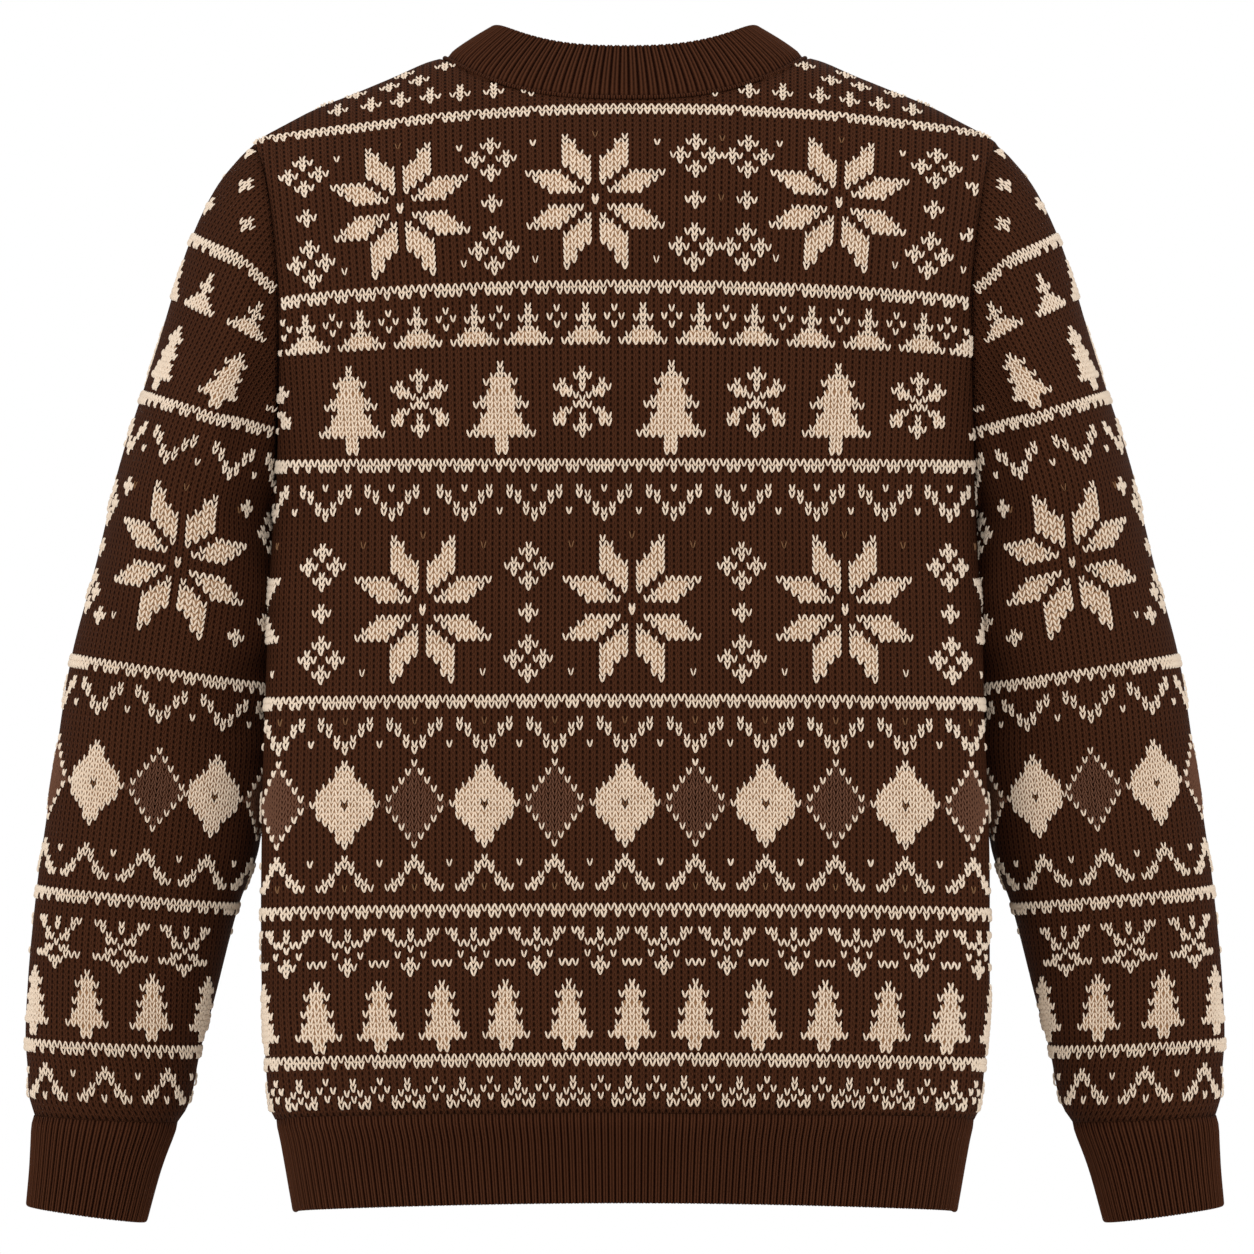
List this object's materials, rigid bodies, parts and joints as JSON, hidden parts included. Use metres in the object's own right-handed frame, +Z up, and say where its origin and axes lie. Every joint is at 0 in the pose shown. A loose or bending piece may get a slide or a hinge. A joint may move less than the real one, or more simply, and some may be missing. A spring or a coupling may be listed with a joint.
{
  "type": "christmas sweater",
  "caption": "Crew-neck jacquard knit christmas sweater, filled out as if worn, dark brown with cream stars, trees, diamonds and zigzag bands, and ribbed neck, cuffs and hem.",
  "frame": {"origin": "middle of the neck base, level with the high shoulder points, where the wearer's shoulders hold it", "axes": "+Z up, +Y the way the wearer faces, so the back is at -Y; +X the wearer's right"},
  "size_m": [0.7456, 0.238, 0.7383],
  "materials": {
    "jacquard_knit": "dark brown jersey knit with cream and grey-brown jacquard motifs",
    "rib_knit": "dark brown one by one rib"
  },
  "bodies": {
    "root": {"back": "jacquard_knit", "front": "jacquard_knit", "sleeve_left": "jacquard_knit", "sleeve_right": "jacquard_knit", "neck_rib": "rib_knit", "hem_rib_back": "rib_knit", "hem_rib_front": "rib_knit", "cuff_left": "rib_knit", "cuff_right": "rib_knit"}
  },
  "joints": []
}
